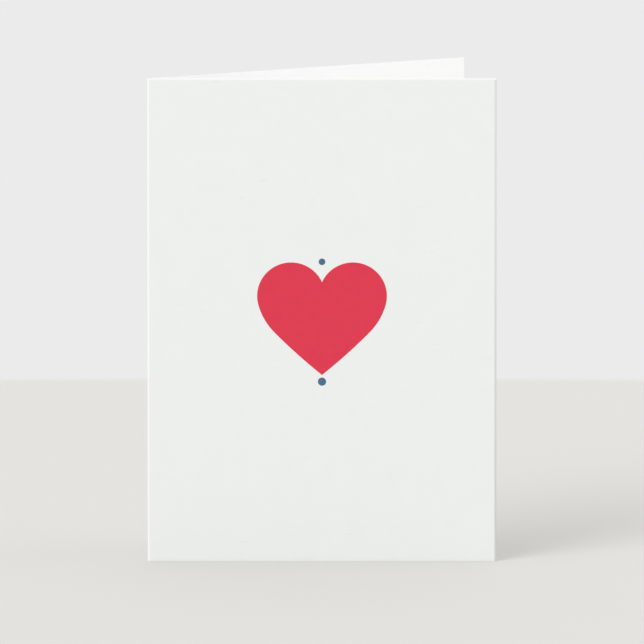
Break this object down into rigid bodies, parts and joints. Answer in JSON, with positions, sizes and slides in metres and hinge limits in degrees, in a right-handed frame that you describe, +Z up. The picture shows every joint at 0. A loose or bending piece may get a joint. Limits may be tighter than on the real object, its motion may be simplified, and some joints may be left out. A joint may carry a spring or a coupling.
{
  "type": "greeting card",
  "caption": "Folded card of heavy paper that stands open on its lower edges, blank inside, with a plain heart and small round dots printed on its front.",
  "frame": {"origin": "middle of the base of the folded sheet's bounding box, on the surface that the card stands on", "axes": "+Z up along the fold, the printed front facing -Y, the fold on the -X side and the open side towards +X"},
  "size_m": [0.127, 0.0539, 0.1778],
  "materials": {
    "card_stock": "matte",
    "red_ink": "matte",
    "blue_ink": "matte"
  },
  "bodies": {
    "root": {"folded_sheet": "card_stock", "heart_print": "red_ink", "upper_dot_print": "blue_ink", "lower_dot_print": "blue_ink"}
  },
  "joints": []
}
